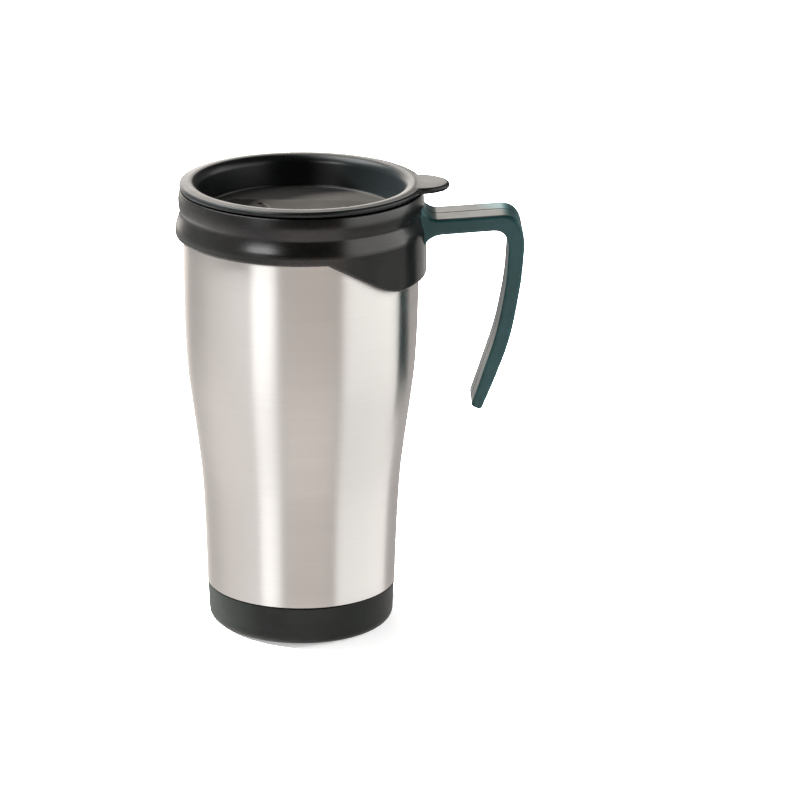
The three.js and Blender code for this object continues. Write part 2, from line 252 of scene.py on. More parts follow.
class Shader:
    """Short calls for building one material's nodes round a Principled shader."""

    def __init__(self, name):
        self.material = bpy.data.materials.new(name)
        self.material.use_nodes = True
        self.tree = self.material.node_tree
        self.tree.nodes.clear()
        self.surface = self.add("ShaderNodeBsdfPrincipled")
        output = self.add("ShaderNodeOutputMaterial")
        self.join(self.surface.outputs["BSDF"], output.inputs["Surface"])
        self.place = self.add("ShaderNodeTexCoord").outputs["Object"]

    def add(self, kind, **settings):
        node = self.tree.nodes.new(kind)
        for key, value in settings.items():
            setattr(node, key, value)
        return node

    def join(self, output, socket):
        self.tree.links.new(output, socket)

    def noise(self, stretch, detail=3.0, rough=0.55):
        """Noise in the row frame; stretch is its scale per metre along X, Y and Z."""
        mapping = self.add("ShaderNodeMapping")
        mapping.inputs["Scale"].default_value = stretch
        self.join(self.place, mapping.inputs["Vector"])
        noise = self.add("ShaderNodeTexNoise")
        noise.inputs["Scale"].default_value = 1.0
        noise.inputs["Detail"].default_value = detail
        noise.inputs["Roughness"].default_value = rough
        self.join(mapping.outputs["Vector"], noise.inputs["Vector"])
        return noise.outputs["Fac"]

    def spread(self, value, low, high, start=0.3, stop=0.7):
        """Maps a value from start..stop to low..high."""
        node = self.add("ShaderNodeMapRange")
        node.inputs["From Min"].default_value = start
        node.inputs["From Max"].default_value = stop
        node.inputs["To Min"].default_value = low
        node.inputs["To Max"].default_value = high
        self.join(value, node.inputs["Value"])
        return node.outputs["Result"]

    def between(self, factor, first, second, blend="MIX"):
        """Mixes two colours, or a colour socket and a colour, by a factor."""
        node = self.add("ShaderNodeMix", data_type="RGBA", blend_type=blend)
        self.join(factor, node.inputs["Factor"])
        for socket, colour in ((node.inputs["A"], first), (node.inputs["B"], second)):
            if isinstance(colour, bpy.types.NodeSocket):
                self.join(colour, socket)
            else:
                socket.default_value = (*colour, 1.0)
        return node.outputs["Result"]

    def sum(self, first, second, share):
        """first + share * second"""
        node = self.add("ShaderNodeMath", operation="MULTIPLY_ADD")
        self.join(second, node.inputs[0])
        node.inputs[1].default_value = share
        self.join(first, node.inputs[2])
        return node.outputs[0]

    def bump(self, height, strength, depth):
        """depth is in mm"""
        node = self.add("ShaderNodeBump")
        node.inputs["Strength"].default_value = strength
        node.inputs["Distance"].default_value = depth * MM
        self.join(height, node.inputs["Height"])
        self.join(node.outputs["Normal"], self.surface.inputs["Normal"])

    def set(self, **values):
        for name, value in values.items():
            self.surface.inputs[name.replace("_", " ")].default_value = value


def painted_edge_highlight(shader, amount):
    """Painted highlight: where edges stick out, the colour is made a little lighter."""
    geometry_node = shader.add("ShaderNodeNewGeometry")
    return shader.spread(geometry_node.outputs["Pointiness"], 0.0, amount, 0.54, 0.64)


def moulded_plastic(name, dark, light, roughness, grain, gloss, highlight_amount=0.3, pitch=3200.0, floor=None):
    """Satin moulded plastic: a fine spark-eroded grain, faint flow marks and painted highlights on edges
    that stick out.
    pitch is the grain's scale per metre, and floor holds what matt_floor needs for a matt area."""
    shader = Shader(name)
    flow = shader.noise((28.0, 28.0, 60.0), detail=4.0)
    fine = shader.noise((pitch, pitch, pitch), detail=2.0)
    smudge = shader.noise((95.0, 95.0, 95.0), detail=5.0, rough=0.6)
    colour = shader.between(shader.spread(flow, 0.0, 1.0), dark, light)
    # painted highlight: a lighter colour where edges stick out
    if highlight_amount:
        highlight_tint = tuple(min(1.0, c * 2.2 + 0.01) for c in light)
        colour = shader.between(painted_edge_highlight(shader, highlight_amount), colour, highlight_tint)
    rough = shader.spread(smudge, roughness - 0.03, roughness + 0.04)
    if floor:
        colour, rough = matt_floor(shader, colour, rough, **floor)
    shader.join(colour, shader.surface.inputs["Base Color"])
    shader.join(rough, shader.surface.inputs["Roughness"])
    shader.bump(fine, grain, 0.03)
    shader.set(Specular_IOR_Level=gloss)
    return shader.material


MATT_ROUGHNESS = 0.75
MATT_PITCH = 1500.0  # the matt area's grain per metre


def matt_floor(shader, colour, rough, dark, light, radius, ceiling):
    """Colour and roughness that turn matt and grained inside a radius and below a height, in mm."""
    parts = shader.add("ShaderNodeSeparateXYZ")
    shader.join(shader.place, parts.inputs[0])
    flat = shader.add("ShaderNodeVectorMath", operation="MULTIPLY")
    shader.join(shader.place, flat.inputs[0])
    flat.inputs[1].default_value = (1.0, 1.0, 0.0)
    away = shader.add("ShaderNodeVectorMath", operation="LENGTH")
    shader.join(flat.outputs["Vector"], away.inputs[0])
    inside = shader.spread(away.outputs["Value"], 1.0, 0.0, (radius - 0.3) * MM, radius * MM)
    below = shader.spread(parts.outputs["Z"], 1.0, 0.0, (ceiling - 0.2) * MM, ceiling * MM)
    both = shader.add("ShaderNodeMath", operation="MULTIPLY")
    shader.join(inside, both.inputs[0])
    shader.join(below, both.inputs[1])
    grain = shader.noise((MATT_PITCH, MATT_PITCH, MATT_PITCH), detail=2.0)
    matt = shader.between(shader.spread(grain, 0.0, 1.0), dark, light)
    rougher = shader.add("ShaderNodeMix", data_type="FLOAT")
    shader.join(both.outputs[0], rougher.inputs[0])
    shader.join(rough, rougher.inputs[2])
    rougher.inputs[3].default_value = MATT_ROUGHNESS
    return shader.between(both.outputs[0], colour, matt), rougher.outputs[0]


def brushed_steel(name):
    """Stainless sheet brushed round the mug: hair-fine level lines that stretch reflections upright."""
    shader = Shader(name)
    hair = shader.noise((16.0, 16.0, 16000.0), detail=4.0, rough=0.7)
    band = shader.noise((9.0, 9.0, 2600.0), detail=3.0)
    cloud = shader.noise((22.0, 22.0, 14.0), detail=3.0)
    colour = shader.between(shader.spread(hair, 0.0, 1.0), (0.66, 0.64, 0.62), (0.74, 0.72, 0.7))
    colour = shader.between(shader.spread(cloud, 0.0, 0.35), colour, (0.75, 0.735, 0.72))
    shader.join(colour, shader.surface.inputs["Base Color"])
    rough = shader.spread(shader.sum(hair, band, 0.7), 0.32, 0.41, 0.5, 1.2)
    shader.join(rough, shader.surface.inputs["Roughness"])
    shader.bump(shader.sum(hair, band, 0.6), 0.06, 0.02)
    tangent = shader.add("ShaderNodeTangent", direction_type="RADIAL", axis="Z")
    shader.join(tangent.outputs["Tangent"], shader.surface.inputs["Tangent"])
    shader.set(Metallic=1.0, Anisotropic=1.0, Anisotropic_Rotation=0.25)
    return shader.material


def soft_rubber(name, dark, light, roughness):
    """Silicone or rubber: matt, slightly cloudy, with fine pits that vary its roughness and bump."""
    shader = Shader(name)
    cloud = shader.noise((60.0, 60.0, 60.0), detail=4.0)
    pits = shader.noise((2400.0, 2400.0, 2400.0), detail=3.0)
    colour = shader.between(shader.spread(cloud, 0.0, 1.0), dark, light)
    shader.join(colour, shader.surface.inputs["Base Color"])
    shader.join(shader.spread(pits, roughness - 0.08, roughness + 0.08), shader.surface.inputs["Roughness"])
    shader.bump(pits, 0.3, 0.03)
    return shader.material


MATT_DARK = (0.018, 0.017, 0.0155)
MATT_LIGHT = (0.027, 0.0255, 0.0235)
WELL_FLOOR = {"dark": MATT_DARK, "light": MATT_LIGHT, "radius": 35.7, "ceiling": 156.4}

black_plastic = moulded_plastic(
    "black_plastic", (0.003, 0.0032, 0.003), (0.005, 0.005, 0.0048),
    roughness=0.23, grain=0.02, gloss=0.6, highlight_amount=0.0)
lid_plastic = moulded_plastic(
    "lid_plastic", (0.0035, 0.0044, 0.0047), (0.0055, 0.0064, 0.0066),
    roughness=0.29, grain=0.22, gloss=0.38, floor=WELL_FLOOR)
slider_plastic = moulded_plastic(
    "slider_plastic", MATT_DARK, MATT_LIGHT,
    roughness=0.6, grain=0.45, gloss=0.02, pitch=MATT_PITCH)
handle_plastic = moulded_plastic(
    "handle_plastic", (0.007, 0.03, 0.032), (0.01, 0.038, 0.041),
    roughness=0.31, grain=0.06, gloss=0.36)
base_plastic = moulded_plastic(
    "base_plastic", (0.0038, 0.0051, 0.0044), (0.0059, 0.0074, 0.0066),
    roughness=0.42, grain=0.3, gloss=0.38)
liner_plastic = moulded_plastic(
    "liner_plastic", (0.008, 0.008, 0.0085), (0.012, 0.012, 0.0125),
    roughness=0.33, grain=0.2, gloss=0.38)
steel = brushed_steel("brushed_steel")
silicone = soft_rubber("silicone", (0.018, 0.019, 0.0185), (0.027, 0.028, 0.0275), roughness=0.5)
pad_rubber = soft_rubber("pad_rubber", (0.012, 0.012, 0.013), (0.022, 0.022, 0.022), roughness=0.75)


# ---- mug ----

ROUND = 240  # sides of a turned piece
RING_SIDES = 144
STEEL_THICKNESS = 0.6
LINER_THICKNESS = 1.3
SPIGOT_THICKNESS = 2.0
CAP_FLOOR = 2.4


def turn_piece(name, outline, body, node, material, steps=5, sides=ROUND):
    """Makes a turned piece from its section's (radius, z, corner radius) outline."""
    points, faces = turn_profile(rounded(outline, steps), even_angles(sides))
    make_object(name, points, faces, body, node, material)


def make_sleeve():
    """The steel sheet, with both of its edges rounded over."""
    line = spline(side_line("outer_shell"), 4)
    foot, top = line[0], line[-1]
    curl = 0.1
    outer = [(p.x, p.y) for p in line[1:-1]]
    inner = [(p.x - STEEL_THICKNESS, p.y) for p in reversed(line[1:-1])]
    half_round = [(-curl, curl), (-STEEL_THICKNESS / 2, 0.0), (-STEEL_THICKNESS + curl, curl)]
    top_edge = [(top.x, top.y - 0.15)] + [(top.x + a, top.y - b) for a, b in half_round]
    foot_edge = [(foot.x + a, foot.y + b) for a, b in reversed(half_round)] + [(foot.x, foot.y + 0.15)]
    profile = outer + top_edge + inner + foot_edge
    points, faces = turn_profile(profile, even_angles(ROUND))
    make_object("sleeve", points, faces, "mug", "outer_shell", steel)


def make_inner_cup():
    """The liner: a round-bottomed cup with a flat flange that rests on the steel's top edge."""
    low, high = span("inner_liner")
    flange = high.x
    flange_low = high.z - 1.6
    line = spline([(r, z) for r, z in side_line("inner_liner") if low.z + 2 < z < high.z - 2], 4)
    foot, mouth = line[0].x, line[-1].x
    wall = line[3:]
    outline = [(0.0, low.z, 0.0), (foot, low.z, 3.4)] + [(r, z, 0.0) for r, z in wall]
    outline += [(mouth, flange_low, 0.3), (flange, flange_low, 0.3), (flange, high.z, 0.4)]
    outline += [(mouth - LINER_THICKNESS, high.z, 0.6)]
    outline += [(r - LINER_THICKNESS, z, 0.0) for r, z in reversed(wall)]
    outline += [(foot - LINER_THICKNESS, low.z + LINER_THICKNESS, 2.6), (0.0, low.z + LINER_THICKNESS, 0.0)]
    turn_piece("inner_cup", outline, "mug", "inner_liner", liner_plastic)


def make_base():
    """The base cap, with a pocket for the pad below and a spigot that plugs into the steel."""
    low, high = span("base_cap")
    side = side_line("base_cap")
    rim = high.x
    shoulder = max(z for r, z in side if r > rim - 0.01)
    spigot = side[-1][0]
    pad_top = span("non_slip_pad")[1]
    pocket, pocket_top = pad_top.x + GAP, pad_top.z + GAP
    outline = [
        (0.0, pocket_top, 0.0), (pocket, pocket_top, 0.4), (pocket, low.z, 0.3),
        (rim - 0.75, low.z, 3.9), (rim, shoulder, 0.35), (spigot, shoulder, 0.2),
        (spigot, high.z, 0.5), (spigot - SPIGOT_THICKNESS, high.z, 0.5),
        (spigot - SPIGOT_THICKNESS, pocket_top + CAP_FLOOR, 1.6), (0.0, pocket_top + CAP_FLOOR, 0.0),
    ]
    turn_piece("base_cup", outline, "mug", "base_cap", base_plastic, steps=8)


def make_pad():
    """The pad's underside has four shallow rings that grip the table."""
    low, high = span("non_slip_pad")
    edge = high.x
    groove = low.z + 0.35
    outline = [(0.0, groove, 0.0)]
    for ring in range(4):
        start = 4.0 + 5.4 * ring
        outline += [(start, groove, 0.2), (start + 0.5, low.z, 0.2)]
        outline += [(start + 3.4, low.z, 0.2), (start + 3.9, groove, 0.2)]
    outline += [(edge - 0.1, groove, 0.3), (edge, high.z, 0.2), (0.0, high.z, 0.0)]
    turn_piece("foot_pad", outline, "mug", "non_slip_pad", pad_rubber, 3, RING_SIDES)


def make_ring(name, node, body, outline):
    turn_piece(name, outline, body, node, silicone, 4, RING_SIDES)


def flat_ring(name, node, thickness, inner_round, outer_round):
    """A seal with a rectangular section."""
    low, high = span(node)
    inner, outer = high.x - thickness, high.x
    make_ring(name, node, "mug", [
        (inner, low.z, inner_round), (outer, low.z, outer_round),
        (outer, high.z, outer_round), (inner, high.z, inner_round)])


def make_lid_seal():
    """The lid's gasket: a band with a fin along each edge."""
    low, high = span("lid_gasket")
    inner, outer = high.x - 1.6, high.x
    band = outer - 0.6
    make_ring("lid_seal", "lid_gasket", "gasket", [
        (inner, low.z, 0.2), (band, low.z, 0.1), (outer, low.z + 0.55, 0.2), (band, low.z + 1.4, 0.25),
        (band, high.z - 1.4, 0.25), (outer, high.z - 0.85, 0.2), (band, high.z, 0.1), (inner, high.z, 0.2)])


# ---- collar ----

TONGUE_START = math.radians(78)  # angle from +X where the lower edge starts to drop
TONGUE_FLAT = math.radians(35)  # angle from which it is level again
TONGUE_BEND = 0.6  # share of the slope before it eases off
BEAD_Z = 149.9  # everything below the bead's widest line hangs down with the tongue
HANG_Z = 148.95  # and from here down it hangs by the tongue's full depth
COLLAR_SIDES = 360


def tongue_share(angle):
    """0 where the collar's edge is level and 1 at the tongue's lowest part."""
    away = abs((angle + math.pi) % (2 * math.pi) - math.pi)
    t = min(1.0, max(0.0, (TONGUE_START - away) / (TONGUE_START - TONGUE_FLAT)))
    if t < TONGUE_BEND:
        return 2 * t / (1 + TONGUE_BEND)
    return 1 - (1 - t) ** 2 / (1 - TONGUE_BEND ** 2)


def make_collar():
    """The collar: a turned ring whose lower edge hangs down into a tongue on the handle's side."""
    low, high = span("collar")
    bore = span("outer_shell")[1].x + GAP / 2
    side = [p for p in side_line("collar") if p[0] > bore + 0.4]
    foot_z = side[0][1]
    bead = max(side)[0]
    lip = span("lid_gasket")[1].x + 1.5
    lip_low = span("liner_seal_ring")[1].z + GAP
    depth = foot_z - low.z
    upper = [p for p in reversed(side) if p[1] > 151]
    line = spline([*upper[1:], (bead, 150.0)], 5)
    top = rounded([
        (bore, lip_low, 0.3), (lip, lip_low, 0.3), (lip, high.z, 0.5), (upper[0][0] + 0.45, high.z, 0.45),
        (*line[1], 0.0)])[:-1]
    wall = [(bead - 0.05, BEAD_Z - 0.15 * step) for step in range(1, 7)]
    edge = rounded([
        (bead - 0.05, 148.9, 0.0), (bead - 0.1, foot_z, 1.25), (bore, foot_z, 0.25), (bore, 149.2, 0.0)])
    bore_line = [(bore, 150.0), (bore, 154.0), (bore, 158.0)]
    profile = top + line[1:] + wall + edge + bore_line

    def hang(angle, radius, z):
        """Moves the part below the bead down: fully at its edge, in proportion on the wall above."""
        if z >= BEAD_Z:
            return radius, z
        share = min(1.0, (BEAD_Z - z) / (BEAD_Z - HANG_Z))
        return radius, z - depth * share * tongue_share(angle)

    points, faces = turn_profile(profile, even_angles(COLLAR_SIDES), hang)
    make_object("collar_ring", points, faces, "mug", "collar", black_plastic)


# ---- handle ----

HALF_WIDTH = 10.0
SEAM = 0.1  # half of the gap between the two halves
EDGE_ROUND = 1.1
SEAM_ROUND = 0.3
TIP_ROUND = 1.0
ROOT_FLARE = 0.9
ARM_THICKNESS = 6.0
ARM_ROOT = (49.2, 155.3)
ARM_TIP = (72.5, 157.0)
ROOT_TOP = (44.4, 160.0)
ROOT_TIP = (43.9, 144.5)
GRIP_OUTER = [(80.8, 144.5), (79.6, 131.0), (76.1, 111.5), (70.9, 96.0), (65.8, 83.3)]
GRIP_INNER = [(75.0, 143.5), (74.0, 130.0), (70.9, 113.0), (66.1, 97.3), (62.0, 84.7)]
ROOT_STEPS, ARM_STEPS, CORNER_STEPS, GRIP_SPAN, TIP_STEPS = 12, 8, 14, 8, 4
ARC_STEPS, SIDE_STEPS = 5, 8  # of the cross-section's corners and long sides


def straight(start, end, steps):
    """Points on a line without its start point."""
    start, end = Vector(start), Vector(end)
    return [start.lerp(end, step / steps) for step in range(1, steps + 1)]


def handle_lines():
    """The handle's outer and inner side lines, (x, z), matched point by point from root to tip."""
    under_root = (ARM_ROOT[0] + 2.8, ARM_ROOT[1] - ARM_THICKNESS + 0.3)
    under_tip = (ARM_TIP[0] - 3.0, ARM_TIP[1] - ARM_THICKNESS)
    outer = [Vector(ROOT_TOP)]
    outer += curve_to(ROOT_TOP, (ROOT_TOP[0] + 0.8, ARM_ROOT[1] + 0.3), ARM_ROOT, ROOT_STEPS)
    outer += straight(ARM_ROOT, ARM_TIP, ARM_STEPS)
    outer += curve_to(ARM_TIP, (80.9, 157.3), GRIP_OUTER[0], CORNER_STEPS)
    outer += spline(GRIP_OUTER, GRIP_SPAN)[1:]
    inner = [Vector(ROOT_TIP)]
    inner += curve_to(ROOT_TIP, (ROOT_TOP[0] + 1.2, ARM_ROOT[1] - ARM_THICKNESS), under_root, ROOT_STEPS)
    inner += straight(under_root, under_tip, ARM_STEPS)
    inner += curve_to(under_tip, (75.0, 151.2), GRIP_INNER[0], CORNER_STEPS)
    inner += spline(GRIP_INNER, GRIP_SPAN)[1:]
    return outer, inner


def section(height, far):
    """A half's cross-section as (depth from the outer side, y): a rounded rectangle with divided sides."""
    edge = min(EDGE_ROUND, height / 3)
    corners = [(0.0, SEAM, SEAM_ROUND), (0.0, far, edge), (height, far, edge), (height, SEAM, SEAM_ROUND)]
    outline = rounded(corners, ARC_STEPS)
    divided = []
    for i, here in enumerate(outline):
        after = outline[(i + 1) % len(outline)]
        divided.append(here)
        if i % (ARC_STEPS + 1) == ARC_STEPS:
            divided += [here.lerp(after, step / SIDE_STEPS) for step in range(1, SIDE_STEPS)]
    return divided


def collar_surface(side, y, z):
    """x of the collar's outer surface on the handle's side."""
    radius = max(side)[0]
    for (low_r, low_z), (high_r, high_z) in zip(side, side[1:]):
        if low_z <= z <= high_z:
            radius = low_r + (high_r - low_r) * (z - low_z) / (high_z - low_z)
    return math.sqrt(radius ** 2 - y ** 2)


def handle_stations():
    """Where the sections stand: (outer point, inner point, inset, index), with the tip rounded off."""
    outer, inner = handle_lines()
    last = len(outer) - 1
    stations = [(outer[i], inner[i], 0.0, i) for i in range(last)]
    along = ((outer[-1] + inner[-1]) / 2 - (outer[-2] + inner[-2]) / 2).normalized()
    for step in range(TIP_STEPS + 1):
        angle = math.pi / 2 * step / TIP_STEPS
        shift = along * TIP_ROUND * (math.sin(angle) - 1)
        stations.append((outer[-1] + shift, inner[-1] + shift, TIP_ROUND * (1 - math.cos(angle)), last))
    return stations


def handle_half(name, node, sign):
    """One half of the handle, from its root on the collar to its open end, on the sign's side of Y."""
    side = [p for p in side_line("collar") if p[1] > 149.5 and p[0] > 43.4]
    stations = handle_stations()
    points, faces = [], []
    for top, bottom, inset, index in stations:
        across = bottom - top
        height = across.length
        across.normalize()
        root = max(0.0, 1.0 - index / ROOT_STEPS)
        far = HALF_WIDTH + ROOT_FLARE * root ** 2
        for depth, y in section(height, far):
            depth = inset + depth * (height - 2 * inset) / height
            y = SEAM + inset * 0.3 + (y - SEAM) * (far - SEAM - 1.3 * inset) / (far - SEAM)
            here = top + across * depth
            x, z = here.x, here.y
            if root > 0:
                surface = collar_surface(side, y, z) - 0.1
                x = x + (surface - min(ROOT_TOP[0], x)) * root ** 1.5
            points.append((x, sign * y, z))
    count = len(points) // len(stations)
    for row in range(0, len(points) - count, count):
        for i in range(count):
            after = (i + 1) % count
            faces.append((row + i, row + after, row + count + after, row + count + i))
    faces.append(tuple(range(count)))
    faces.append(tuple(range(len(points) - count, len(points))))
    make_object(name, points, faces, "mug", node, handle_plastic)


# ---- lid ----

TAB_CENTRE, TAB_LENGTH, TAB_HALF_WIDTH = 43.0, 10.7, 10.5
TAB_BLEND = 2.0  # how softly the tab grows out of the rim
STRETCH_FROM = 42.3  # the rim outside this radius is drawn out into the tab
STRETCH_WIDTH = 0.45
FINE_ANGLE = 19  # degrees either side of the tab's middle that have finer steps
WELL_FLOOR_RADIUS, PLUG_FOOT_RADIUS = 33.8, 35.0
SLOT_INNER, SLOT_OUTER = 27.4, 33.0
SLOT_HALF_ANGLE = 17.0  # degrees
INNER_TRIM, OUTER_TRIM = 4.2, 3.5  # degrees cut off the slot's long sides for its bowed ends
SLOT_BOW = 2.0
VENT_RADIUS = 1.35


def tab_reach(angle):
    """Distance from the axis to the tab's outline at an angle from +X, or 0 beside the tab."""
    x, y = math.cos(angle), math.sin(angle)
    a = (x / TAB_LENGTH) ** 2 + (y / TAB_HALF_WIDTH) ** 2
    b = -2 * TAB_CENTRE * x / TAB_LENGTH ** 2
    c = (TAB_CENTRE / TAB_LENGTH) ** 2 - 1
    inside = b * b - 4 * a * c
    if inside <= 0 or x < 0:
        return 0.0
    return (-b + math.sqrt(inside)) / (2 * a)


def rim_reach(angle, rim):
    """Outer radius of the lid at an angle: the rim's, drawn out smoothly into the tab."""
    reach = tab_reach(angle)
    h = max(TAB_BLEND - abs(reach - rim), 0.0) / TAB_BLEND
    return max(reach, rim) + h * h * TAB_BLEND / 4


def lid_angles():
    """Even steps round the lid, with finer ones where the tab is."""
    fine = [math.radians(a / 4) for a in range(-4 * FINE_ANGLE, 4 * FINE_ANGLE + 1)]
    rest = 360 - 2 * FINE_ANGLE
    coarse = [math.radians(FINE_ANGLE + rest * step / 200) for step in range(1, 200)]
    return fine + coarse


def drink_slot():
    """Outline of the drink opening, counter-clockwise, with bowed ends."""
    inner_half = SLOT_HALF_ANGLE - INNER_TRIM
    outer_half = SLOT_HALF_ANGLE - OUTER_TRIM
    outer = ring_arc(SLOT_OUTER, 180 - outer_half, 180 + outer_half, 20)
    inner = ring_arc(SLOT_INNER, 180 + inner_half, 180 - inner_half, 16)
    ends = []
    for start, stop in ((outer[-1], inner[0]), (inner[-1], outer[0])):
        along = (stop - start).normalized()
        out = Vector((along.y, -along.x))
        first, last = start + out * SLOT_BOW * 0.55, stop + out * SLOT_BOW * 0.55
        furthest = (start + stop) / 2 + out * SLOT_BOW * 0.9
        ends.append([first.lerp(last, 0.15), furthest, first.lerp(last, 0.85)])
    return outer + ends[0] + inner + ends[1]


def circle(x, radius, count=32):
    return ring_arc(radius, 0, 360 - 360 / count, count - 1, x)


def lid_profile(rim, floor, seat_z):
    """The lid's section from the well's floor, over the rim and down the plug to its underside."""
    low, high = span("lid")
    groove_low, groove_high = span("lid_gasket")
    groove = groove_high.x - 1.9
    plug = groove_high.x - 0.7
    foot = plug - 0.2
    stretched = STRETCH_FROM + STRETCH_WIDTH
    return rounded([
        (WELL_FLOOR_RADIUS, floor, 0.0), (35.85, floor, 1.3), (37.4, 165.4, 4.0), (39.0, 167.2, 2.4),
        (41.0, high.z, 4.0),
        (STRETCH_FROM, 167.25, 0.0), (42.45, 167.23, 0.0), (42.6, 167.2, 0.0), (stretched, 167.18, 0.0),
        (rim, 167.1, 0.95), (rim, seat_z + 0.1, 0.95),
        (stretched, seat_z + 0.05, 0.0), (42.6, seat_z + 0.04, 0.0), (STRETCH_FROM, seat_z, 0.0),
        (plug, seat_z, 0.3), (plug, groove_high.z + GAP, 0.2), (groove, groove_high.z + GAP, 0.2),
        (groove, groove_low.z - GAP, 0.2), (foot, groove_low.z - GAP, 0.3), (foot, groove_low.z - 1.5, 0.5),
        (plug - 1.6, low.z, 0.6), (PLUG_FOOT_RADIUS, low.z, 0.0),
    ], 5)


def make_lid():
    """The lid: a turned rim and plug drawn out into the tab, and a flat floor with three openings."""
    low = span("lid")[0]
    rim = -low.x
    floor = span("slider_seal")[0].z - GAP
    underside = low.z
    seat_z = span("collar")[1].z + GAP
    profile = lid_profile(rim, floor, seat_z)

    def draw_tab(angle, radius, z):
        if radius <= STRETCH_FROM or z < seat_z - 1:
            return radius, z
        share = min(1.0, (radius - STRETCH_FROM) / STRETCH_WIDTH)
        return radius + share * (rim_reach(angle, rim) - rim), z

    angles = lid_angles()
    points, faces = turn_profile(profile, angles, draw_tab, closed=False)
    rows = len(profile)
    upper = [[k * rows for k in range(len(angles))]]
    lower = [[k * rows + rows - 1 for k in range(len(angles))]]
    slot_levels = [
        (0.0, underside), (0.0, floor - 0.2), (-0.15, floor + 0.18), (-0.45, floor + 0.2), (-0.75, floor)]
    plain_levels = [(-0.3, underside), (0.0, underside + 0.3), (0.0, floor - 0.3), (-0.3, floor)]
    vent = circle(span("slider")[1].x - HEAD_RADIUS, VENT_RADIUS)
    stem_slot = rounded([(x, y, 1.0) for x, y in ((-10.3, -3.3), (8.3, -3.3), (8.3, 3.3), (-10.3, 3.3))])
    for contour, levels in ((drink_slot(), slot_levels), (vent, plain_levels), (stem_slot, plain_levels)):
        loops = add_wall(points, faces, flipped(contour), levels)
        lower.append(loops[0])
        upper.append(loops[-1])
    fill_loops(points, faces, upper)
    fill_loops(points, faces, lower)
    make_object("lid_body", points, faces, "lid", "lid", lid_plastic)


# ---- slider ----

TRAVEL = 6.0  # along -X, to shut the drink opening
HEAD_RADIUS = 10.0
END_RADIUS = 34.0
END_HALF_WIDTH = 11.75
END_CORNER = 0.9
SCOOP_X, SCOOP_HALF, SCOOP_SAG = -12.7, 5.4, 1.9  # middle of the fingertip's crescent, and its bow
SCOOP_WIDTH, SCOOP_DEPTH, SCOOP_SHALLOW = 2.3, 0.95, 0.3
SCOOP_STEPS = 18
ARROW_X, ARROW_REACH, ARROW_SHAFT = -18.9, 1.9, 0.85
PLATE_DROP = 0.3  # the plate's face is this far below the CAD slider's top, and the arrow stands on it
PLATE_EDGE = 0.45


def slider_outline():
    """A round head, straight sides and an end that follows the lid's well once the slider is shut."""
    head_x = span("slider")[1].x - HEAD_RADIUS
    end_angle = math.degrees(math.asin((END_HALF_WIDTH - END_CORNER) / END_RADIUS))
    corner_x = TRAVEL - math.sqrt(END_RADIUS ** 2 - END_HALF_WIDTH ** 2) + END_CORNER
    head = ring_arc(HEAD_RADIUS, -88, 88, 40, head_x)
    end = ring_arc(END_RADIUS, 180 - end_angle, 180 + end_angle, 30, TRAVEL)
    upper_corner = [
        Vector((corner_x + 0.5, END_HALF_WIDTH - 0.02)),
        Vector((corner_x - 0.35, END_HALF_WIDTH - 0.35)),
    ]
    lower_corner = [Vector((p.x, -p.y)) for p in reversed(upper_corner)]
    return head + upper_corner + end + lower_corner


def scoop(top):
    """The crescent for a fingertip: deep on the head's side, ramped up to the drink end."""
    half = SCOOP_WIDTH / 2
    middle = []
    for step in range(SCOOP_STEPS + 1):
        y = SCOOP_HALF * (1 - 2 * step / SCOOP_STEPS)
        middle.append(Vector((SCOOP_X - SCOOP_SAG * (y / SCOOP_HALF) ** 2, y)))
    front, back = [], []
    for i, here in enumerate(middle):
        along = (middle[min(i + 1, SCOOP_STEPS)] - middle[max(i - 1, 0)]).normalized()
        across = Vector((-along.y, along.x)) * half
        front.append(here + across)
        back.append(here - across)

    def round_end(here, start):
        """The half circle about here from start, clockwise, without its end points."""
        arm = start - here
        turned = []
        for step in range(1, 6):
            cos, sin = math.cos(math.pi * step / 6), math.sin(math.pi * step / 6)
            turned.append(here + Vector((arm.x * cos + arm.y * sin, arm.y * cos - arm.x * sin)))
        return turned

    contour = front + round_end(middle[-1], front[-1]) + flipped(back) + round_end(middle[0], back[0])
    lowest = min(p.x for p in contour)

    def floor(here):
        ramp = min(1.0, max(0.0, (here.x - lowest) / (SCOOP_X + half - lowest)))
        return top - SCOOP_SHALLOW - (SCOOP_DEPTH - SCOOP_SHALLOW) * ramp

    return contour, [(-0.3, top), (-0.1, top - 0.08), (0.15, floor)]


def arrow(top):
    """A small raised arrow that points to the open side."""
    x, reach, shaft = ARROW_X, ARROW_REACH, ARROW_SHAFT
    corners = [
        (x - reach, -shaft), (x - reach, shaft), (x, shaft), (x, reach),
        (x + reach, 0.0), (x, -reach), (x, -shaft),
    ]
    return [Vector(c) for c in corners], [(0.0, top), (0.06, top + 0.22), (0.2, top + 0.28)]


def make_slider():
    """The gate: a plate on its seal, with the vent hole, the scoop and the arrow."""
    high = span("slider")[1]
    plate_low = span("slider_seal")[0].z
    top = high.z - PLATE_DROP
    vent = flipped(circle(high.x - HEAD_RADIUS, VENT_RADIUS))
    points, faces = plate(slider_outline(), plate_low, top, PLATE_EDGE, [vent], [scoop(top), arrow(top)])
    make_object("slide_gate", points, faces, "slider", "slider", slider_plastic)


make_sleeve()
make_inner_cup()
make_base()
make_pad()
flat_ring("foot_seal", "base_seal_ring", thickness=1.1, inner_round=0.3, outer_round=0.7)
flat_ring("mouth_seal", "liner_seal_ring", thickness=1.6, inner_round=0.25, outer_round=0.25)
make_lid_seal()
make_collar()
handle_half("handle_front", "handle_front_half", -1)
handle_half("handle_back", "handle_back_half", 1)
make_lid()
make_slider()
for node, material in (("slider_keeper", slider_plastic), ("slider_seal", silicone)):
    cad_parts[node].data.materials.clear()
    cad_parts[node].data.materials.append(material)


# ---- studio ----

